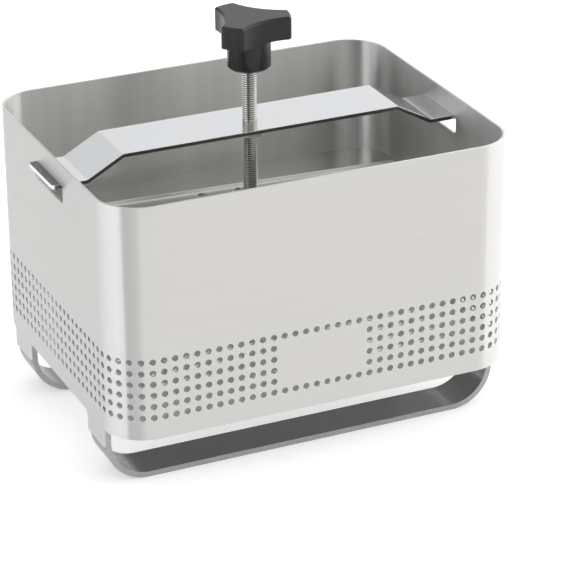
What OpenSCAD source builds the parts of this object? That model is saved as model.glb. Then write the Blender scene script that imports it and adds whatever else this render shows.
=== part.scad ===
// Tofu press: a perforated sheet-steel box on two strap feet, with a slotted-in
// bridge, a hand screw and a swivelling press plate. Millimetres, Z up.
// The origin is on the surface that the press stands on, midway between the feet.

/* [Box] */
// Outside length of the box, left to right
box_l = 230; // [200:1:300]
// Outside depth of the box, front to back
box_w = 182; // [150:1:240]
// Height of the walls, without the tabs below them
wall_h = 130; // [110:1:170]
// Outside radius of the four upright corners
corner_r = 23; // [16:1:30]
// Thickness of the wall and base sheet
sheet_t = 1.2; // [0.8:0.1:2]

/* [Drain holes in the wall] */
// Diameter of one drain hole
hole_d = 3.6; // [2.4:0.1:4.4]
// Spacing of the columns round the wall, from the middle of the front both ways
hole_pitch = 6.14; // [5.6:0.02:9]
// Spacing of the rows
row_pitch = 6.35; // [5.6:0.05:8]
// Number of rows
hole_rows = 6; // [3:1:7]
// Height of the lowest row over the wall's bottom edge
first_row_z = 12.6; // [11.5:0.1:16]
// Columns left plain in the middle of the front, in all but the top and bottom rows
blank_columns = 8; // [0:2:16]

/* [Base sheet] */
// Height of the base sheet's top over the wall's bottom edge
base_z = 8; // [6:0.5:9.5]
// Spacing of the base sheet's drain holes
base_pitch = 12.2; // [8:0.1:20]
// Diameter of the base sheet's drain holes
base_hole_d = 4; // [3:0.1:6]

/* [Feet] */
// Width of the flat strap that each foot is bent from
foot_w = 23; // [18:1:30]
// Thickness of the foot strap
foot_t = 3; // [2:0.5:5]
// Drop from the wall's bottom edge to the surface that the feet stand on
foot_drop = 34; // [26:1:45]
// Outside radius of the bend at each end of a foot
foot_bend_r = 24; // [12:1:26]
// Height of the wall tab that each foot's leg is welded to
tab_h = 11; // [6:0.5:14]

/* [Bridge] */
// Width of the bridge bar
bridge_w = 36; // [28:1:50]
// Thickness of the bridge bar
bridge_t = 2.2; // [1.5:0.1:4]
// Depth of the bar's raised middle below the box's rim
bridge_below_rim = 0.5; // [0:0.5:6]
// Height of the raised middle over the bar's end flats
bridge_rise = 11; // [8:0.1:18]
// Steepness of the two ramps, in degrees
bridge_ramp = 28.5; // [20:0.5:45]
// Inside radius of the bar's bends
bridge_bend_r = 1.6; // [1:0.1:4]
// Length of each end flat, from the bend to the tip outside the wall
end_flat_l = 19; // [14:0.5:30]
// How far each tip stands out of the wall
tip_out = 4.5; // [3:0.5:8]
// Radius of the tips' corners
tip_corner_r = 2; // [0.5:0.5:3]

/* [Slots for the bridge] */
// Room on each side of the bar in its slots
slot_side_gap = 3; // [1:0.5:6]
// Room under the bar in its slots, which the bridge can drop by
slot_drop = 8; // [4:0.5:12]
// Radius of the slots' corners
slot_r = 3; // [1:0.5:5]

/* [Screw] */
// Outside diameter of the screw's thread
screw_d = 8; // [6:1:12]
// Diameter of the plain tip that turns in the plate's cup
journal_d = 6; // [4:0.5:6.5]
// Free screw between the knob's hub and the bridge, as the press stands
screw_showing = 29.5; // [12:0.5:40]

/* [Knob] */
// Reach of each arm from the screw's axis
knob_reach = 22.5; // [19:0.5:32]
// Width of an arm at its end
arm_w = 13.5; // [10:0.5:16]
// Height of the arms
arm_h = 12.4; // [8:0.2:18]
// Radius of the arms' corners
arm_corner_r = 2.6; // [1:0.2:4]
// Bevel along the arms' top edges
arm_bevel = 1.1; // [0.4:0.1:2]
// How far the sides between two arms are drawn in, from a straight line
side_draw = 3.2; // [1:0.1:5]
// Diameter of the hub below the arms
hub_d = 23.5; // [18:0.1:26]
// Height of the hub below the arms
hub_h = 16.4; // [8:0.2:24]
// Turn of the knob about the screw, in degrees
knob_turn = -17; // [-60:1:60]

/* [Press plate] */
// Room between the plate's ends and the box
plate_end_gap = 6.8; // [4:0.1:12]
// Room between the plate's sides and the box
plate_side_gap = 8.8; // [4:0.1:14]
// Radius of the plate's corners
plate_corner_r = 18; // [12:1:26]
// Thickness of the plate
plate_t = 1.5; // [1:0.1:3]
// Height of the plate's top over the wall's bottom edge, as the press stands
plate_z = 68.5; // [60:0.5:74]
// Width of the raised strip along each long side of the plate
plate_margin = 27; // [15:1:40]
// Depth of the sunk middle below the side strips
plate_sink = 1.5; // [0.8:0.1:3]
// Diameter of the four drain holes beside the middle
plate_hole_d = 8; // [4:0.5:12]
// Turn of the plate in the box as the press stands, in degrees
plate_turn = -4; // [-5:0.5:5]

/* [Fits] */
// Radial clearance where one part turns in another
running_fit = 0.05; // [0.02:0.01:0.1]
// Gap between faces that are welded or bonded together
joint_gap = 0.02; // [0:0.01:0.1]
// Gap over the bridge's end flats in their slots
slot_top_gap = 0.1; // [0.05:0.05:0.5]
// End play of the screw's tip in the cup
end_play = 0.1; // [0.05:0.05:0.4]

/* [Hidden] */
$fn = 96;
eps = 0.01;
hole_fn = 24;

// Inside of the box
inner_l = box_l - 2 * sheet_t;
inner_w = box_w - 2 * sheet_t;
inner_r = corner_r - sheet_t;

// Heights above the surface that the feet stand on
wall_z = foot_drop;
rim_z = wall_z + wall_h;
bridge_top_z = rim_z - bridge_below_rim;
end_flat_top_z = bridge_top_z - bridge_rise;
slot_top_z = end_flat_top_z + slot_top_gap;
slot_bottom_z = end_flat_top_z - bridge_t - slot_drop;
hub_z = bridge_top_z + screw_showing;
arms_z = hub_z + hub_h;
knob_top_z = arms_z + arm_h;
plate_top_z = wall_z + plate_z;
sunk_top_z = plate_top_z - plate_sink;

// Drain holes: the columns run round the wall from the middle of the front to a
// plain land in the middle of the rear, where the sheet's ends are butt-welded
flat_l = box_l - 2 * corner_r;
flat_w = box_w - 2 * corner_r;
corner_run = corner_r * PI / 2;
wrap_length = 2 * flat_l + 2 * flat_w + 4 * corner_run;
half_columns = floor(wrap_length / 2 / hole_pitch - 0.5);
quarter_run = flat_l / 2 + corner_run + flat_w / 2;

// Feet: their straps lie just inside the flat of the side walls
foot_y = flat_w / 2 - foot_w / 2;
leg_x = inner_l / 2 - joint_gap;
base_rim_z = 1;
tab_fillet_r = 3;

// Bridge bar: the ramp's straight length follows from the rise
bend_mid_r = bridge_bend_r + bridge_t / 2;
ramp_l = (bridge_rise - 2 * bend_mid_r * (1 - cos(bridge_ramp))) / sin(bridge_ramp);
bridge_half_l = box_l / 2 + tip_out;
bridge_top_half_l = bridge_half_l - end_flat_l - ramp_l * cos(bridge_ramp)
    - 2 * bend_mid_r * sin(bridge_ramp);
slot_l = bridge_w + 2 * slot_side_gap;

// Bridge nut
nut_across_flats = 1.625 * screw_d;
nut_h = 0.8 * screw_d;

// Swivel: cup, washer and ring on the screw's plain tip
cup_d = 26;
cup_h = 10;
cup_ledge_h = 5;
cup_room_d = 14;
washer_d = 16;
washer_h = 1.2;
washer_gap = 0.05;
cup_top_z = sunk_top_z + cup_h;
washer_z = cup_top_z + washer_gap;
shoulder_z = washer_z + washer_h + washer_gap;
ring_d = journal_d + 5;
ring_t = 0.8;
ring_top_z = cup_top_z - cup_ledge_h - end_play;
groove_depth = 0.5;
groove_h = ring_t + 0.1;
tip_below_ring = 1.6;
tip_z = ring_top_z - groove_h - tip_below_ring;
tip_chamfer = 0.5;

// Knob
insert_d = 1.5 * screw_d;
insert_h = 13;
corner_x = knob_reach - arm_corner_r;
corner_y = arm_w / 2 - arm_corner_r;
arm_step = 120;
mid_turn = arm_step / 2;
near_corner_x = corner_x * cos(mid_turn) + corner_y * sin(mid_turn);
half_chord = corner_x * sin(mid_turn) - corner_y * cos(mid_turn);
side_r = (half_chord * half_chord + side_draw * side_draw) / (2 * side_draw);
side_centre = near_corner_x - side_draw + side_r + arm_corner_r;
corner_bite = 0.05;
side_cut_r = norm([side_centre - near_corner_x, half_chord]) - arm_corner_r + corner_bite;

// Press plate
plate_l = inner_l - 2 * plate_end_gap;
plate_w = inner_w - 2 * plate_side_gap;
sunk_w = plate_w - 2 * plate_margin;
plate_hole_x = 11;
plate_hole_y = sunk_w / 2 - plate_hole_d / 2 - 1;

steel = [0.80, 0.81, 0.83];
strap_steel = [0.52, 0.52, 0.54];
turned_steel = [0.66, 0.66, 0.67];
brass = [0.78, 0.64, 0.36];
black = [0.13, 0.13, 0.14];

// Rectangle with true round corners
module plan(l, w, r) {
    square([l - 2 * r, w], center = true);
    square([l, w - 2 * r], center = true);
    for (x = [-1, 1], y = [-1, 1])
        translate([x * (l / 2 - r), y * (w / 2 - r)])
            circle(r = r);
}

// One bend of a folded strap, which turns by angle about its centre
module bend_2d(angle, inside_r, t) {
    reach = 2 * (inside_r + t);
    start = angle > 0 ? -90 : 90;
    intersection() {
        difference() {
            circle(r = inside_r + t);
            circle(r = inside_r);
        }
        polygon([
            [0, 0],
            reach * [cos(start), sin(start)],
            reach * [cos(start + angle / 2), sin(start + angle / 2)],
            reach * [cos(start + angle), sin(start + angle)]
        ]);
    }
}

// Side view of a folded strap, from the origin along X. Each step is
// [straight length, bend after it in degrees (up is positive), inside radius]
module folded_strap_2d(steps, t, i = 0) {
    if (i < len(steps)) {
        straight = steps[i][0];
        angle = steps[i][1];
        inside_r = steps[i][2];
        centre_y = angle > 0 ? t + inside_r : -inside_r;
        square([straight, t]);
        if (angle != 0)
            translate([straight, centre_y]) {
                bend_2d(angle, inside_r, t);
                rotate(angle)
                    translate([0, -centre_y])
                        folded_strap_2d(steps, t, i + 1);
            }
    }
}

// Folded strap of a given width, mirrored about the middle, with its side view upright
module folded_strap(steps, t, width) {
    translate([0, width / 2, 0])
        rotate([90, 0, 0])
            linear_extrude(width)
                for (side = [0, 1])
                    mirror([side, 0])
                        folded_strap_2d(steps, t);
}

// Place on the outside of the wall, a distance s round it from the middle of the
// front towards +X: [x, y, direction that the wall faces]. Past a quarter of the
// way round, the rest follows by symmetry
function quarter_place(s) =
    s < flat_l / 2 ? [s, -box_w / 2, -90]
    : s < flat_l / 2 + corner_run ? corner_place((s - flat_l / 2) / corner_run * 90 - 90)
    : [box_l / 2, s - quarter_run, 0];
function corner_place(facing) = [
    flat_l / 2 + corner_r * cos(facing),
    -flat_w / 2 + corner_r * sin(facing),
    facing
];
function half_place(s) =
    s <= quarter_run ? quarter_place(s)
    : let (p = quarter_place(2 * quarter_run - s)) [p[0], -p[1], -p[2]];

module drain_holes() {
    for (column = [0.5:half_columns - 0.5], row = [0:hole_rows - 1]) {
        edge_row = row == 0 || row == hole_rows - 1;
        if (edge_row || column > blank_columns / 2) {
            place = half_place(column * hole_pitch);
            for (side = [0, 1])
                mirror([side, 0, 0])
                    translate([place[0], place[1], wall_z + first_row_z + row * row_pitch])
                        rotate([0, 90, place[2]])
                            cylinder(d = hole_d, h = 3 * sheet_t, center = true, $fn = hole_fn);
        }
    }
}

// Slot through both side walls for the bridge's ends
module bridge_slots() {
    translate([-box_l, 0, (slot_top_z + slot_bottom_z) / 2])
        rotate([90, 0, 90])
            linear_extrude(2 * box_l)
                plan(slot_l, slot_top_z - slot_bottom_z, slot_r);
}

// Tab below the wall that a foot's leg is welded to, with a fillet towards the middle
module foot_tab() {
    translate([box_l / 2 - sheet_t, 0, wall_z])
        rotate([90, 0, 90])
            linear_extrude(sheet_t) {
                translate([foot_y - foot_w / 2, -tab_h])
                    square([foot_w, tab_h]);
                difference() {
                    translate([foot_y - foot_w / 2 - tab_fillet_r, -tab_fillet_r])
                        square(tab_fillet_r);
                    translate([foot_y - foot_w / 2 - tab_fillet_r, -tab_fillet_r])
                        circle(r = tab_fillet_r);
                }
            }
}

module wall() {
    color(steel)
        difference() {
            union() {
                translate([0, 0, wall_z])
                    linear_extrude(wall_h)
                        difference() {
                            plan(box_l, box_w, corner_r);
                            plan(inner_l, inner_w, inner_r);
                        }
                for (x = [0, 1], y = [0, 1])
                    mirror([x, 0, 0])
                        mirror([0, y, 0])
                            foot_tab();
            }
            bridge_slots();
            drain_holes();
        }
}

module base_sheet() {
    base_l = inner_l - 2 * joint_gap;
    base_w = inner_w - 2 * joint_gap;
    base_r = inner_r - joint_gap;
    holes_x = floor((flat_l / 2) / base_pitch);
    holes_y = floor((flat_w / 2) / base_pitch);
    color(steel)
        translate([0, 0, wall_z])
            difference() {
                translate([0, 0, base_rim_z])
                    linear_extrude(base_z - base_rim_z)
                        plan(base_l, base_w, base_r);
                linear_extrude(base_z - sheet_t)
                    plan(base_l - 2 * sheet_t, base_w - 2 * sheet_t, base_r - sheet_t);
                for (x = [-holes_x:holes_x], y = [-holes_y:holes_y])
                    translate([x * base_pitch, y * base_pitch, 0])
                        cylinder(d = base_hole_d, h = 2 * base_z, $fn = hole_fn);
            }
}

// Strap foot: a wide U whose legs stand inside the wall tabs, up to the base sheet
module foot() {
    inside_r = foot_bend_r - foot_t;
    color(strap_steel)
        folded_strap(
            [
                [leg_x - foot_bend_r, 90, inside_r],
                [wall_z + base_rim_z - foot_bend_r, 0, 0]
            ],
            foot_t, foot_w
        );
}

module front_foot() {
    translate([0, -foot_y, 0])
        foot();
}

module rear_foot() {
    translate([0, foot_y, 0])
        foot();
}

// What rounds off one corner of the bridge bar's tips
module tip_corner_cut() {
    centre_x = bridge_half_l - tip_corner_r;
    centre_y = bridge_w / 2 - tip_corner_r;
    translate([centre_x, centre_y, end_flat_top_z - 2 * bridge_t])
        linear_extrude(3 * bridge_t)
            difference() {
                square(2 * tip_corner_r);
                circle(r = tip_corner_r);
            }
}

module bridge_bar() {
    color(steel)
        difference() {
            translate([0, 0, bridge_top_z - bridge_t])
                folded_strap(
                    [
                        [bridge_top_half_l, -bridge_ramp, bridge_bend_r],
                        [ramp_l, bridge_ramp, bridge_bend_r],
                        [end_flat_l, 0, 0]
                    ],
                    bridge_t, bridge_w
                );
            for (x = [0, 1], y = [0, 1])
                mirror([x, 0, 0])
                    mirror([0, y, 0])
                        tip_corner_cut();
            translate([0, 0, bridge_top_z - 2 * bridge_t])
                cylinder(d = screw_d + 2 * running_fit, h = 4 * bridge_t);
        }
}

// Weld nut under the middle of the bridge
module bridge_nut() {
    color(turned_steel)
        translate([0, 0, bridge_top_z - bridge_t - nut_h])
            difference() {
                cylinder(d = nut_across_flats / cos(30), h = nut_h, $fn = 6);
                translate([0, 0, -eps])
                    cylinder(d = screw_d + 2 * running_fit, h = nut_h + 2 * eps);
            }
}

// Screw: threaded shank, shoulder, and a plain tip with a groove for the ring
module screw() {
    top_z = hub_z + insert_h;
    journal_r = journal_d / 2;
    groove_r = journal_r - groove_depth;
    color(turned_steel)
        rotate_extrude()
            polygon([
                [0, tip_z],
                [journal_r - tip_chamfer, tip_z],
                [journal_r, tip_z + tip_chamfer],
                [journal_r, ring_top_z - groove_h],
                [groove_r, ring_top_z - groove_h],
                [groove_r, ring_top_z],
                [journal_r, ring_top_z],
                [journal_r, shoulder_z],
                [screw_d / 2 - tip_chamfer, shoulder_z],
                [screw_d / 2, shoulder_z + tip_chamfer],
                [screw_d / 2, top_z],
                [0, top_z]
            ]);
}

// Outline of the knob before its sides are drawn in: three arms with round corners
module knob_outline() {
    for (turn = [0:arm_step:359])
        rotate(turn) {
            polygon([
                [0, -corner_y], [knob_reach, -corner_y],
                [knob_reach, corner_y], [0, corner_y]
            ]);
            for (side = [-1, 1])
                translate([corner_x, side * corner_y])
                    circle(r = arm_corner_r);
            rotate(mid_turn)
                polygon([
                    [0, 0], [near_corner_x, -half_chord],
                    [side_centre, 0], [near_corner_x, half_chord]
                ]);
        }
}

// Cut that draws in the side between two arms, in an arc that runs into their
// corners, crossing them by a hair's breadth so that no sliver is left, and that
// flares at the top to bevel the side's edge
module side_cut() {
    rotate([0, 0, mid_turn])
        translate([side_centre, 0, arms_z])
            rotate_extrude()
                polygon([
                    [0, -1], [side_cut_r, -1], [side_cut_r, arm_h - arm_bevel],
                    [side_cut_r + 2 * arm_bevel, arm_h + arm_bevel],
                    [0, arm_h + arm_bevel]
                ]);
}

module knob_grip() {
    top_r = knob_reach + 0.3;
    hub_r = hub_d / 2;
    hub_round = 1.2;
    pocket_wall = 2.4;
    pocket_l = 6.5;
    color(black)
        rotate([0, 0, knob_turn])
            difference() {
                union() {
                    difference() {
                        intersection() {
                            translate([0, 0, arms_z])
                                linear_extrude(arm_h)
                                    knob_outline();
                            translate([0, 0, arms_z])
                                rotate_extrude()
                                    polygon([
                                        [0, -eps], [top_r - arm_bevel / 2, -eps],
                                        [top_r, arm_bevel / 2], [top_r, arm_h - arm_bevel],
                                        [top_r - arm_bevel, arm_h + eps], [0, arm_h + eps]
                                    ]);
                        }
                        for (turn = [0:arm_step:359])
                            rotate([0, 0, turn])
                                side_cut();
                    }
                    translate([0, 0, hub_z])
                        rotate_extrude()
                            polygon([
                                [0, 0], [hub_r - hub_round, 0], [hub_r, hub_round],
                                [hub_r, hub_h + arm_h / 2], [0, hub_h + arm_h / 2]
                            ]);
                }
                for (turn = [0:arm_step:359])
                    rotate([0, 0, turn])
                        translate([hub_r + 1, -arm_w / 2 + pocket_wall, arms_z - eps])
                            cube([pocket_l, arm_w - 2 * pocket_wall, arm_h - pocket_wall]);
                translate([0, 0, hub_z - eps])
                    cylinder(d = insert_d + 2 * joint_gap, h = insert_h + joint_gap + eps);
            }
}

// Metal bush in the hub that the screw is fixed in
module knob_insert() {
    color(brass)
        translate([0, 0, hub_z])
            difference() {
                cylinder(d = insert_d, h = insert_h);
                translate([0, 0, -eps])
                    cylinder(d = screw_d + 2 * joint_gap, h = insert_h + 2 * eps);
            }
}

// Open spring ring that holds the cup on the screw's tip
module retaining_ring() {
    groove_d = journal_d - 2 * groove_depth;
    color(turned_steel)
        translate([0, 0, ring_top_z - (groove_h + ring_t) / 2])
            difference() {
                cylinder(d = ring_d, h = ring_t);
                translate([0, 0, -eps])
                    cylinder(d = groove_d + 2 * joint_gap, h = ring_t + 2 * eps);
                translate([0, -groove_d / 2 + 0.3, -eps])
                    cube([ring_d, groove_d - 0.6, ring_t + 2 * eps]);
            }
}

module thrust_washer() {
    color(brass)
        translate([0, 0, washer_z])
            difference() {
                cylinder(d = washer_d, h = washer_h);
                translate([0, 0, -eps])
                    cylinder(d = journal_d + 2 * running_fit, h = washer_h + 2 * eps);
            }
}

// Cup welded to the plate, in which the screw's tip turns
module swivel_cup() {
    cup_chamfer = 1.5;
    room_h = cup_h - cup_ledge_h;
    color(turned_steel)
        translate([0, 0, sunk_top_z])
            difference() {
                rotate_extrude()
                    polygon([
                        [0, 0], [cup_d / 2, 0], [cup_d / 2, cup_h - cup_chamfer],
                        [cup_d / 2 - cup_chamfer, cup_h], [0, cup_h]
                    ]);
                translate([0, 0, -eps])
                    cylinder(d = cup_room_d, h = room_h + eps);
                cylinder(d = journal_d + 2 * running_fit, h = 2 * cup_h);
            }
}

// Press plate: its middle is sunk between two side strips by a pair of small folds
module press_plate() {
    low_half = sunk_w / 2;
    color(steel)
        rotate([0, 0, plate_turn])
            difference() {
                intersection() {
                    translate([0, 0, sunk_top_z - 2 * plate_t])
                        linear_extrude(4 * plate_t + plate_sink)
                            plan(plate_l, plate_w, plate_corner_r);
                    translate([-plate_l / 2, 0, sunk_top_z - plate_t])
                        rotate([90, 0, 90])
                            linear_extrude(plate_l)
                                polygon([
                                    [-low_half - plate_t / 2, 0],
                                    [low_half + plate_t / 2, 0],
                                    [low_half + plate_sink + plate_t / 2, plate_sink],
                                    [plate_w / 2, plate_sink],
                                    [plate_w / 2, plate_sink + plate_t],
                                    [low_half + plate_sink, plate_sink + plate_t],
                                    [low_half, plate_t],
                                    [-low_half, plate_t],
                                    [-low_half - plate_sink, plate_sink + plate_t],
                                    [-plate_w / 2, plate_sink + plate_t],
                                    [-plate_w / 2, plate_sink],
                                    [-low_half - plate_sink - plate_t / 2, plate_sink]
                                ]);
                }
                for (x = [-1, 1], y = [-1, 1])
                    translate([x * plate_hole_x, y * plate_hole_y, 0])
                        cylinder(d = plate_hole_d, h = 2 * plate_top_z);
                cylinder(d = cup_room_d, h = 2 * plate_top_z);
            }
}

wall();
base_sheet();
front_foot();
rear_foot();
bridge_bar();
bridge_nut();
screw();
knob_grip();
knob_insert();
retaining_ring();
thrust_washer();
press_plate();
swivel_cup();
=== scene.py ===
"""Tofu press: finishes, thread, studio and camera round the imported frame. Metres, Z up."""

import math

import bmesh
import bpy
from mathutils import Matrix, Vector


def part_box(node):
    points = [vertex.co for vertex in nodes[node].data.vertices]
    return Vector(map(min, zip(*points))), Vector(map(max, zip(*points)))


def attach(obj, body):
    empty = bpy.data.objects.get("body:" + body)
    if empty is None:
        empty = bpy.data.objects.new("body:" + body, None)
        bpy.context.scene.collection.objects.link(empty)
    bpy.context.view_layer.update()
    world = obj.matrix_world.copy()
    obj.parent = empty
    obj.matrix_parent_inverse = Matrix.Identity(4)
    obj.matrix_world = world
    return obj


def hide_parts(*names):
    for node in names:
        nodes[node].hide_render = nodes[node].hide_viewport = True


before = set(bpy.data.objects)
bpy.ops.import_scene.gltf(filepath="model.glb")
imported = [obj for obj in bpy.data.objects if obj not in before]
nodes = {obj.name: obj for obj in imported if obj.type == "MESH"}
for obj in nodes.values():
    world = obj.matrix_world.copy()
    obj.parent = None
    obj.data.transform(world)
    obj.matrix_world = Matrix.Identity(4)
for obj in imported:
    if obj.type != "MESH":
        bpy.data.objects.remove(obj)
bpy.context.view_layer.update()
MM = 0.001

# ---------------------------------------------------------------- camera
CAMERA_AZIMUTH = math.radians(-24.28)
CAMERA_ELEVATION = math.radians(24.87)
CAMERA_ROLL = math.radians(-0.45)
CAMERA_DISTANCE = 1.5
CAMERA_AIM = Vector((0.0124, -0.0161, 0.0679))
SENSOR = 36.0
PHOTO_HEIGHT = 575
FOCAL_PIXELS = 2740.7


def make_camera():
    back = Vector((
        math.sin(CAMERA_AZIMUTH) * math.cos(CAMERA_ELEVATION),
        -math.cos(CAMERA_AZIMUTH) * math.cos(CAMERA_ELEVATION),
        math.sin(CAMERA_ELEVATION),
    ))
    data = bpy.data.cameras.new("camera")
    data.sensor_width = SENSOR
    data.lens = FOCAL_PIXELS / PHOTO_HEIGHT * SENSOR
    data.clip_start = 0.05
    data.clip_end = 50
    camera = bpy.data.objects.new("camera", data)
    camera.rotation_mode = "QUATERNION"
    camera.location = CAMERA_AIM + back * CAMERA_DISTANCE
    turn = (-back).to_track_quat("-Z", "Y")
    camera.rotation_quaternion = turn @ Matrix.Rotation(CAMERA_ROLL, 4, "Z").to_quaternion()
    bpy.context.scene.collection.objects.link(camera)
    bpy.context.scene.camera = camera


# ---------------------------------------------------------------- node trees
def shade(colour, factor):
    return tuple(min(1.0, c * factor) for c in colour)


class Nodes:
    """Short calls for building the node tree of one material, or of the world."""

    def __init__(self, holder, output="OutputMaterial"):
        holder.use_nodes = True
        self.holder = holder
        self.tree = holder.node_tree
        self.tree.nodes.clear()
        self.out = self.add(output)
        source = self.add("TexCoord")
        self.coords = source.outputs["Object"]
        self.normals = source.outputs["Normal"]
        self.directions = source.outputs["Generated"]

    def add(self, kind, **settings):
        made = self.tree.nodes.new("ShaderNode" + kind)
        for key, value in settings.items():
            setattr(made, key, value)
        return made

    def link(self, a, b):
        self.tree.links.new(a, b)

    def put(self, value, socket):
        """Links value where it is a socket, and sets it where it is a number or a colour."""
        if isinstance(value, bpy.types.NodeSocket):
            self.link(value, socket)
        else:
            socket.default_value = value

    def noise(self, scale, detail=4.0, roughness=0.6):
        mapping = self.add("Mapping")
        mapping.inputs["Scale"].default_value = scale
        self.link(self.coords, mapping.inputs["Vector"])
        made = self.add("TexNoise")
        made.inputs["Scale"].default_value = 1.0
        made.inputs["Detail"].default_value = detail
        made.inputs["Roughness"].default_value = roughness
        self.link(mapping.outputs["Vector"], made.inputs["Vector"])
        return made.outputs["Fac"]

    def math(self, operation, *values):
        made = self.add("Math", operation=operation)
        for value, socket in zip(values, made.inputs):
            self.put(value, socket)
        return made.outputs[0]

    def part(self, vector, axis):
        made = self.add("SeparateXYZ")
        self.link(vector, made.inputs[0])
        return made.outputs[axis]

    def size(self, vector, axis):
        """The vector's part along the axis, without its sign."""
        return self.math("ABSOLUTE", self.part(vector, axis))

    def step(self, value, low, high):
        """0 at low and 1 at high, with an even rise between them."""
        made = self.add("MapRange")
        made.inputs["From Min"].default_value = low
        made.inputs["From Max"].default_value = high
        self.link(value, made.inputs["Value"])
        return made.outputs["Result"]

    def span(self, value, low, high):
        """low where value is 0 and high where it is 1."""
        made = self.add("MapRange")
        made.inputs["To Min"].default_value = low
        made.inputs["To Max"].default_value = high
        self.link(value, made.inputs["Value"])
        return made.outputs["Result"]

    def blend(self, factor, a, b):
        made = self.add("Mix", data_type="FLOAT")
        for value, socket in ((factor, made.inputs[0]), (a, made.inputs[2]), (b, made.inputs[3])):
            self.put(value, socket)
        return made.outputs[0]

    def mix(self, factor, a, b):
        made = self.add("Mix", data_type="RGBA")
        for value, socket in ((factor, made.inputs[0]), (a, made.inputs[6]), (b, made.inputs[7])):
            self.put(value, socket)
        return made.outputs[2]

    def ramp(self, value, stops):
        made = self.add("ValToRGB")
        ramp = made.color_ramp
        while len(ramp.elements) < len(stops):
            ramp.elements.new(0.5)
        for element, (place, colour) in zip(ramp.elements, stops):
            element.position = place
            element.color = (*colour, 1)
        self.link(value, made.inputs["Fac"])
        return made.outputs["Color"]

    def tones(self, value, colour, low, high, start=0.3, end=0.7):
        """The colour, made darker by low where value is start and lighter by high at end."""
        return self.ramp(value, [(start, shade(colour, low)), (end, shade(colour, high))])

    def dot(self, a, b):
        made = self.add("VectorMath", operation="DOT_PRODUCT")
        self.link(a, made.inputs[0])
        self.link(b, made.inputs[1])
        return made.outputs["Value"]

    def flat(self, vector):
        """The vector without its Z part."""
        made = self.add("VectorMath", operation="MULTIPLY")
        self.link(vector, made.inputs[0])
        made.inputs[1].default_value = (1, 1, 0)
        return made.outputs["Vector"]

    def seen_or_mirrored(self):
        """1 for rays from the camera, and for those that come off metal or gloss."""
        path = self.add("LightPath")
        return self.math("MAXIMUM", path.outputs["Is Camera Ray"], path.outputs["Is Glossy Ray"])

    def bevel(self, radius, samples):
        made = self.add("Bevel", samples=samples)
        made.inputs["Radius"].default_value = radius
        return made.outputs["Normal"]

    def bump(self, height, strength, distance, normal=None):
        made = self.add("Bump")
        made.inputs["Strength"].default_value = strength
        made.inputs["Distance"].default_value = distance
        self.link(height, made.inputs["Height"])
        if normal is not None:
            self.link(normal, made.inputs["Normal"])
        return made.outputs["Normal"]


# ---------------------------------------------------------------- materials
# density of each pattern along X, Y and Z: the lower it is, the further the pattern runs
HORIZONTAL = (9, 9, 1500)
LENGTHWISE = (9, 1500, 1500)
TURNED = (60, 60, 2400)
CLOUDS = (14, 14, 22)
SCORES = (180, 180, 2200)
UPRIGHT_REFLECTION_STREAKS = (26, 26, 1.5)
WELD_WANDER = (90, 90, 260)
WELD_RIPPLES = (900, 900, 700)
MOULDED_GRAIN = (2600, 2600, 2600)
MOULDED_CLOUDS = (60, 60, 60)
SCUFFS = (500, 90, 500)
# how much denser the fine grain is than the main one
FINE_GRAIN = 3.1

# part of a normal along an axis at which a face starts to count, and counts in full
SIDEWAYS = (0.9, 0.97)
UPWARD = (0.6, 0.9)
# how far a face's normal points away from the middle of the box, from outward to inward
INWARD = (2 * MM, -2 * MM)
# depth and height at which the rear of the box, and the lower part inside it that is painted lighter
# as painted light, start
REAR = (80 * MM, 85 * MM)
LOW_INSIDE_HEIGHT = (94 * MM, 86 * MM)
WALL_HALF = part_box("wall")[1].x

# painted light: the lower part inside the box is painted this lighter colour
LOW_INSIDE_PAINTED_LIGHT = (0.93, 0.93, 0.92)
# share of the painted reflection streaks in the inner faces' tone
REFLECTION_STREAK_SHARE = 0.6
# half widths of the butt weld and of its heat tint, each from its soft rim inwards
WELD_HALF = (1.6 * MM, 0.8 * MM)
TINT_HALF = (6.0 * MM, 1.0 * MM)
HEAT_TINT = (0.56, 0.50, 0.43)
TINT_SHARE = 0.35
WELD_SHARE = 0.5
RIPPLE_HEIGHT = 3.0
# what the weld loses on the inner face, where it is ground flush
GROUND_FLUSH = 0.85
# cosine of the bevel's turn at which an edge's painted highlight starts, and is full
EDGE_TURN = (0.995, 0.90)
EDGE_SHARE = 0.75
BRUSH_STRENGTH = 0.22
BRUSH_RELIEF = 0.03 * MM
# share of a whole turn that draws highlights out upright
UPRIGHT_GLOSS = 0.25


def cut_faces(n, tone, cut):
    """Faces that look along Y are cut edges, scored along their length."""
    side = n.step(n.size(n.normals, "Y"), *SIDEWAYS)
    scored = n.noise(SCORES, detail=4.0)
    return n.mix(side, tone, n.tones(scored, cut, 0.85, 1.15))


def painted_dark_end_tops(n, tone, ends):
    """Upper faces past the box's ends, darkened as a painted dark reflection."""
    past = n.step(n.size(n.coords, "X"), WALL_HALF - 0.5 * MM, WALL_HALF + 0.2 * MM)
    level = n.step(n.part(n.normals, "Z"), *UPWARD)
    return n.mix(n.math("MULTIPLY", past, level), tone, (*ends, 1))


def inner_faces(n, tone, inside, lines, inward):
    """Faces that look to the middle of the box: brushed, with broad upright streaks of painted
    reflection, and painted light that makes their lower part lighter.
    """
    lined = n.tones(lines, inside, 0.95, 1.04)
    reflection_streaks = n.tones(n.noise(UPRIGHT_REFLECTION_STREAKS, detail=3.0), inside, 0.80, 1.04, 0.40, 0.60)
    low = n.step(n.part(n.coords, "Z"), *LOW_INSIDE_HEIGHT)
    lit = n.mix(low, n.mix(REFLECTION_STREAK_SHARE, lined, reflection_streaks), (*LOW_INSIDE_PAINTED_LIGHT, 1))
    return n.mix(inward, tone, lit)


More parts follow.
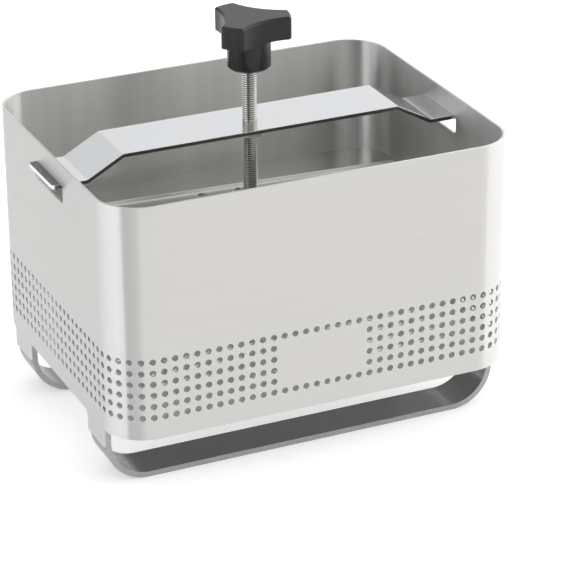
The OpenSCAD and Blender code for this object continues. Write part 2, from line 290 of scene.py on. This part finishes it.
def butt_weld(n, tone, height, colour, inward):
    """The wall's butt weld, upright in the middle of the rear: its bead and its heat tint."""
    x = n.size(n.coords, "X")
    wander = n.math("MULTIPLY", n.noise(WELD_WANDER, detail=3.0), 0.5 * MM)
    near = n.step(n.math("ADD", x, wander), *WELD_HALF)
    outward = n.math("SUBTRACT", 1.0, n.math("MULTIPLY", inward, GROUND_FLUSH))
    rear = n.math("MULTIPLY", n.step(n.part(n.coords, "Y"), *REAR), outward)
    weld = n.math("MULTIPLY", near, rear)
    tint = n.math("MULTIPLY", n.step(x, *TINT_HALF), rear)
    tone = n.mix(n.math("MULTIPLY", tint, TINT_SHARE), tone, (*HEAT_TINT, 1))
    tone = n.mix(n.math("MULTIPLY", weld, WELD_SHARE), tone, (*shade(colour, 1.1), 1))
    ripples = n.math("MULTIPLY", n.noise(WELD_RIPPLES, detail=2.0), weld)
    return tone, n.math("ADD", height, n.math("MULTIPLY", ripples, RIPPLE_HEIGHT))


def steel(name, colour, grain, roughness, spread=0.0, cut=None, inside=None, ends=None,
          edge=0.2 * MM, edge_highlight=0.85, metallic=1.0):
    """Satin steel with a fine grain; grain holds the lines' density along X, Y and Z. cut is the
    colour of the faces that look along Y. inside is the colour of the faces that look to the
    middle of the box, painted light with streaks of painted reflection, and brings the wall's butt
    weld. ends is the colour of the upper faces past the box's ends, a painted dark reflection.
    Edges are rounded by edge, in metres, and take the grey edge_highlight as a painted highlight."""
    n = Nodes(bpy.data.materials.new(name))
    lines = n.noise(grain, detail=5.0, roughness=0.7)
    fine = n.noise(tuple(g * FINE_GRAIN for g in grain), detail=3.0, roughness=0.6)
    clouds = n.noise(CLOUDS, detail=4.0, roughness=0.55)
    shader = n.add("BsdfPrincipled")
    shader.inputs["Metallic"].default_value = metallic
    shader.inputs["Anisotropic"].default_value = spread
    shader.inputs["Anisotropic Rotation"].default_value = UPRIGHT_GLOSS if spread else 0.0
    streaks = n.tones(lines, colour, 0.94, 1.05)
    cloudy = n.tones(clouds, colour, 0.965, 1.02, 0.32, 0.68)
    tone = n.mix(0.5, streaks, cloudy)
    height = n.math("ADD", lines, n.math("MULTIPLY", fine, 0.5))
    if cut is not None:
        tone = cut_faces(n, tone, cut)
    if ends is not None:
        tone = painted_dark_end_tops(n, tone, ends)
    if inside is not None:
        inward = n.step(n.dot(n.flat(n.normals), n.flat(n.coords)), *INWARD)
        tone = inner_faces(n, tone, inside, lines, inward)
        tone, height = butt_weld(n, tone, height, colour, inward)
    rounded = None
    if edge:
        rounded = n.bevel(edge, 4)
        turned = n.math("ABSOLUTE", n.dot(rounded, n.add("NewGeometry").outputs["True Normal"]))
        # painted highlight: the rims of rounded edges are painted a lighter grey
        rim = n.math("MULTIPLY", n.step(turned, *EDGE_TURN), EDGE_SHARE)
        tone = n.mix(rim, tone, (edge_highlight, edge_highlight, edge_highlight, 1))
    n.link(tone, shader.inputs["Base Color"])
    n.link(n.span(clouds, roughness * 0.92, roughness * 1.08), shader.inputs["Roughness"])
    n.link(n.bump(height, BRUSH_STRENGTH, BRUSH_RELIEF, rounded), shader.inputs["Normal"])
    n.link(shader.outputs["BSDF"], n.out.inputs["Surface"])
    return n.holder


ARM_THICKNESS = 12.4 * MM
HUB_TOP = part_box("knob_grip")[1].z - ARM_THICKNESS
HUB_ROUGHNESS = 0.13


def black_plastic():
    """Moulded plastic: satin over the arms, smoother and glossier on the hub."""
    n = Nodes(bpy.data.materials.new("black_plastic"))
    grain = n.noise(MOULDED_GRAIN, detail=3.0)
    clouds = n.noise(MOULDED_CLOUDS, detail=3.0)
    scuffs = n.noise(SCUFFS, detail=5.0, roughness=0.75)
    shader = n.add("BsdfPrincipled")
    n.link(n.ramp(clouds, [(0.3, (0.016, 0.016, 0.018)), (0.7, (0.021, 0.021, 0.024))]),
           shader.inputs["Base Color"])
    shader.inputs["Specular IOR Level"].default_value = 0.28
    on_arms = n.step(n.part(n.coords, "Z"), HUB_TOP - 0.4 * MM, HUB_TOP + 0.4 * MM)
    scuffed = n.math("MULTIPLY", n.step(scuffs, 0.62, 0.75), 0.06)
    satin = n.math("ADD", n.span(grain, 0.25, 0.34), scuffed)
    n.link(n.blend(on_arms, HUB_ROUGHNESS, satin), shader.inputs["Roughness"])
    n.link(n.bump(grain, 0.10, 0.05 * MM, n.bevel(0.6 * MM, 6)), shader.inputs["Normal"])
    n.link(shader.outputs["BSDF"], n.out.inputs["Surface"])
    return n.holder


# painted light: the inner colour is a little lighter than the outer faces, for the light inside the
# box
SHEET = steel("box_steel", (0.645, 0.64, 0.63), HORIZONTAL, 0.40, spread=1.0,
              inside=(0.67, 0.67, 0.655), edge=0.5 * MM)
# painted light: the base sheet's light colour stands for the light that comes in through the holes
BASE = steel("base_steel_painted_light", (0.90, 0.90, 0.89), LENGTHWISE, 0.50, metallic=0.4)
# painted shade: the strap's colours are darkened for the shade and the dark reflections under the box
STRAP = steel("strap_steel", (0.17, 0.165, 0.165), LENGTHWISE, 0.22,
              cut=(0.34, 0.34, 0.34), edge_highlight=0.6)
# painted dark reflection: ends darkens the tops of the bar's ends past the box
BAR = steel("bar_steel", (0.72, 0.73, 0.745), LENGTHWISE, 0.17, cut=(0.15, 0.15, 0.14),
            ends=(0.26, 0.26, 0.245), edge=0.5 * MM, edge_highlight=1.0)
PLATE = steel("plate_steel", (0.68, 0.68, 0.665), LENGTHWISE, 0.26,
              cut=(0.3, 0.3, 0.29), edge=0.4 * MM)
TURNED_STEEL = steel("turned_steel", (0.62, 0.62, 0.61), TURNED, 0.20)
THREAD_STEEL = steel("thread_steel", (0.42, 0.42, 0.405), TURNED, 0.18, edge=0)
BRASS = steel("brass", (0.70, 0.52, 0.24), TURNED, 0.26, edge_highlight=0.7)
PLASTIC = black_plastic()

FINISHES = {
    "wall": SHEET, "base_sheet": BASE, "front_foot": STRAP, "rear_foot": STRAP,
    "bridge_bar": BAR, "bridge_nut": TURNED_STEEL, "screw": TURNED_STEEL,
    "knob_grip": PLASTIC, "knob_insert": BRASS, "retaining_ring": TURNED_STEEL,
    "thrust_washer": BRASS, "press_plate": PLATE, "swivel_cup": TURNED_STEEL,
}


def finish_nodes():
    for name, material in FINISHES.items():
        obj = nodes[name]
        obj.data.materials.clear()
        obj.data.materials.append(material)


# ---------------------------------------------------------------- threaded screw
SCREW_R = 4.0 * MM
ROOT_R = 3.32 * MM
JOURNAL_R = 3.0 * MM
GROOVE_R = 2.5 * MM
PITCH = 1.25 * MM
TIP_CHAMFER = 0.5 * MM
GAP = 0.05 * MM
SHOULDER_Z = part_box("thrust_washer")[1].z + GAP
AROUND = 48
# share of the thread's depth at each ring of one pitch
THREAD_PROFILE = (0.0, 0.15, 1.0, 0.85)
RINGS_A_PITCH = len(THREAD_PROFILE)
# the thread reaches its full depth over this many pitches
RUN_IN = 2


def make_ring(mesh, r, z, rise=0.0):
    """One turn of points, which climbs by rise on its way round."""
    turns = [2 * math.pi * i / AROUND for i in range(AROUND)]
    return [
        mesh.verts.new((r * math.cos(turn), r * math.sin(turn), z + rise * turn / (2 * math.pi)))
        for turn in turns
    ]


def make_shank(mesh, low):
    """Rings of the plain tip with its ring groove, up to the shoulder under the thread."""
    groove_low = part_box("retaining_ring")[0].z - GAP
    groove_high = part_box("retaining_ring")[1].z + GAP
    rings = [make_ring(mesh, r, z) for r, z in (
        (JOURNAL_R - TIP_CHAMFER, low), (JOURNAL_R, low + TIP_CHAMFER),
        (JOURNAL_R, groove_low), (GROOVE_R, groove_low),
        (GROOVE_R, groove_high), (JOURNAL_R, groove_high),
        (JOURNAL_R, SHOULDER_Z), (ROOT_R, SHOULDER_Z), (ROOT_R, SHOULDER_Z + TIP_CHAMFER),
    )]
    for a, b in zip(rings, rings[1:]):
        for i in range(AROUND):
            j = (i + 1) % AROUND
            mesh.faces.new((a[i], a[j], b[j], b[i]))
    mesh.faces.new(list(reversed(rings[0])))
    return rings[-1]


def make_thread(mesh, below, high):
    """Right-hand thread over the ring below it, up to the height high. A helix doesn't close on
    its own ring: each ring's last point joins the first one of the ring a pitch further up."""
    start = SHOULDER_Z + 2 * TIP_CHAMFER
    count = int((high - start - PITCH) / PITCH * RINGS_A_PITCH)
    threads = []
    for k in range(count):
        depth = THREAD_PROFILE[k % RINGS_A_PITCH] * min(1.0, k / (RUN_IN * RINGS_A_PITCH))
        r = ROOT_R + (SCREW_R - ROOT_R) * depth
        threads.append(make_ring(mesh, r, start + k * PITCH / RINGS_A_PITCH, PITCH))
    for a, b in zip([below, *threads], threads):
        for i in range(AROUND - 1):
            mesh.faces.new((a[i], a[i + 1], b[i + 1], b[i]))
    seam = [ring[0] for ring in threads[:RINGS_A_PITCH + 1]]
    mesh.faces.new((below[-1], below[0], *seam, threads[0][-1]))
    for k in range(count - RINGS_A_PITCH - 1):
        above = k + RINGS_A_PITCH
        mesh.faces.new((threads[k][-1], threads[above][0], threads[above + 1][0], threads[k + 1][-1]))
    rim = [*threads[-1], *(threads[-2 - k][-1] for k in range(RINGS_A_PITCH))]
    top = mesh.verts.new((0, 0, sum(v.co.z for v in rim) / len(rim)))
    for a, b in zip(rim, rim[1:] + rim[:1]):
        mesh.faces.new((a, b, top))


def make_screw():
    low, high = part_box("screw")
    mesh = bmesh.new()
    make_thread(mesh, make_shank(mesh, low.z), high.z)
    bmesh.ops.recalc_face_normals(mesh, faces=mesh.faces)
    # edges that run along the thread stay sharp; those along the screw are smooth
    for edge in mesh.edges:
        a, b = edge.verts
        edge.smooth = abs(a.co.z - b.co.z) >= PITCH / AROUND * 1.5
    data = bpy.data.meshes.new("threaded_screw")
    mesh.to_mesh(data)
    mesh.free()
    for face in data.polygons:
        face.use_smooth = True
    data.materials.append(THREAD_STEEL)
    obj = bpy.data.objects.new("threaded_screw", data)
    bpy.context.scene.collection.objects.link(obj)
    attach(obj, "screw")
    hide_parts("screw")


# ---------------------------------------------------------------- studio
FLOOR_HALF = 4.0
FLOOR_GLOW = 0.40
COOL = (0.97, 0.98, 1.0)
WARM = (1.0, 0.985, 0.96)
PLAIN = (1.0, 1.0, 1.0)
# azimuth in degrees from +X towards +Y, light level, tint
ROOM = (
    (-180, 2.15, COOL),
    (-160, 2.25, COOL),
    (-153, 0.50, COOL),
    (-145, 0.10, PLAIN),
    (-130, 0.12, PLAIN),
    (-113, 0.45, PLAIN),
    (-105, 1.15, WARM),
    (-66, 1.34, WARM),
    (-46, 1.30, WARM),
    (-38, 2.40, WARM),
    (20, 2.40, PLAIN),
    (48, 1.10, PLAIN),
    (68, 0.98, PLAIN),
    (98, 0.86, PLAIN),
    (118, 0.65, COOL),
    (132, 1.35, COOL),
    (152, 1.80, COOL),
    (180, 2.15, COOL),
)
ROOM_BRIGHTEST = max(level for degrees, level, tint in ROOM)
ROOM_CEILING = 0.55
# upward part of the direction at which the walls start to give way to the ceiling, and end
CEILING_FROM = (0.60, 0.90)
OBJECT_MIDDLE = (0, 0, 0.08)


def area_light(name, place, aim, size, power):
    data = bpy.data.lights.new(name, "AREA")
    data.shape = "RECTANGLE"
    data.size, data.size_y = size
    data.energy = power
    obj = bpy.data.objects.new(name, data)
    obj.location = place
    obj.rotation_mode = "QUATERNION"
    obj.rotation_quaternion = (Vector(aim) - Vector(place)).to_track_quat("-Z", "Y")
    bpy.context.scene.collection.objects.link(obj)


def floor_material():
    """Matt pale floor that also glows, for the camera and for what mirrors it."""
    n = Nodes(bpy.data.materials.new("floor"))
    shader = n.add("BsdfPrincipled")
    shader.inputs["Roughness"].default_value = 0.9
    clouds = n.noise((3, 3, 3), detail=2.0)
    n.link(n.ramp(clouds, [(0.3, (0.74, 0.74, 0.74)), (0.7, (0.76, 0.76, 0.76))]),
           shader.inputs["Base Color"])
    glow = n.add("Emission")
    glow.inputs["Strength"].default_value = FLOOR_GLOW
    both = n.add("AddShader")
    n.link(shader.outputs["BSDF"], both.inputs[0])
    n.link(glow.outputs["Emission"], both.inputs[1])
    choose = n.add("MixShader")
    n.link(n.seen_or_mirrored(), choose.inputs[0])
    n.link(shader.outputs["BSDF"], choose.inputs[1])
    n.link(both.outputs[0], choose.inputs[2])
    n.link(choose.outputs[0], n.out.inputs["Surface"])
    return n.holder


def make_floor():
    mesh = bmesh.new()
    mesh.faces.new([mesh.verts.new((x * FLOOR_HALF, y * FLOOR_HALF, 0))
                    for x, y in ((-1, -1), (1, -1), (1, 1), (-1, 1))])
    data = bpy.data.meshes.new("floor")
    mesh.to_mesh(data)
    mesh.free()
    data.materials.append(floor_material())
    obj = bpy.data.objects.new("floor", data)
    bpy.context.scene.collection.objects.link(obj)


def make_world():
    """A studio room round the object: bright to its left and its right, dark between the camera
    and the left, and middling elsewhere. The camera itself sees white."""
    n = Nodes(bpy.data.worlds.new("studio"), "OutputWorld")
    angle = n.math("ARCTAN2", n.part(n.directions, "Y"), n.part(n.directions, "X"))
    turn = n.step(angle, -math.pi, math.pi)
    walls = n.ramp(turn, [((degrees + 180) / 360, shade(tint, level / ROOM_BRIGHTEST))
                          for degrees, level, tint in ROOM])
    ceiling = (*shade(PLAIN, ROOM_CEILING / ROOM_BRIGHTEST), 1)
    high = n.step(n.part(n.directions, "Z"), *CEILING_FROM)
    room = n.add("Background")
    n.link(n.mix(high, walls, ceiling), room.inputs["Color"])
    room.inputs["Strength"].default_value = ROOM_BRIGHTEST
    white = n.add("Background")
    white.inputs["Color"].default_value = (1, 1, 1, 1)
    white.inputs["Strength"].default_value = 1.0
    choose = n.add("MixShader")
    n.link(n.add("LightPath").outputs["Is Camera Ray"], choose.inputs[0])
    n.link(room.outputs[0], choose.inputs[1])
    n.link(white.outputs[0], choose.inputs[2])
    n.link(choose.outputs[0], n.out.inputs["Surface"])
    bpy.context.scene.world = n.holder


def make_studio():
    make_floor()
    make_world()
    area_light("key", (-0.6, -0.9, 1.4), OBJECT_MIDDLE, (1.0, 1.0), 3)
    area_light("top", (0.2, 0.3, 1.5), OBJECT_MIDDLE, (1.0, 1.0), 2)
    # light that the drain holes let in: without it the space under the plate is too dark
    area_light("fill", (0, 0, 0.097), (0, 0, 0.04), (0.17, 0.13), 0.007)


bpy.context.scene.view_settings.view_transform = "Standard"
make_camera()
finish_nodes()
make_screw()
make_studio()
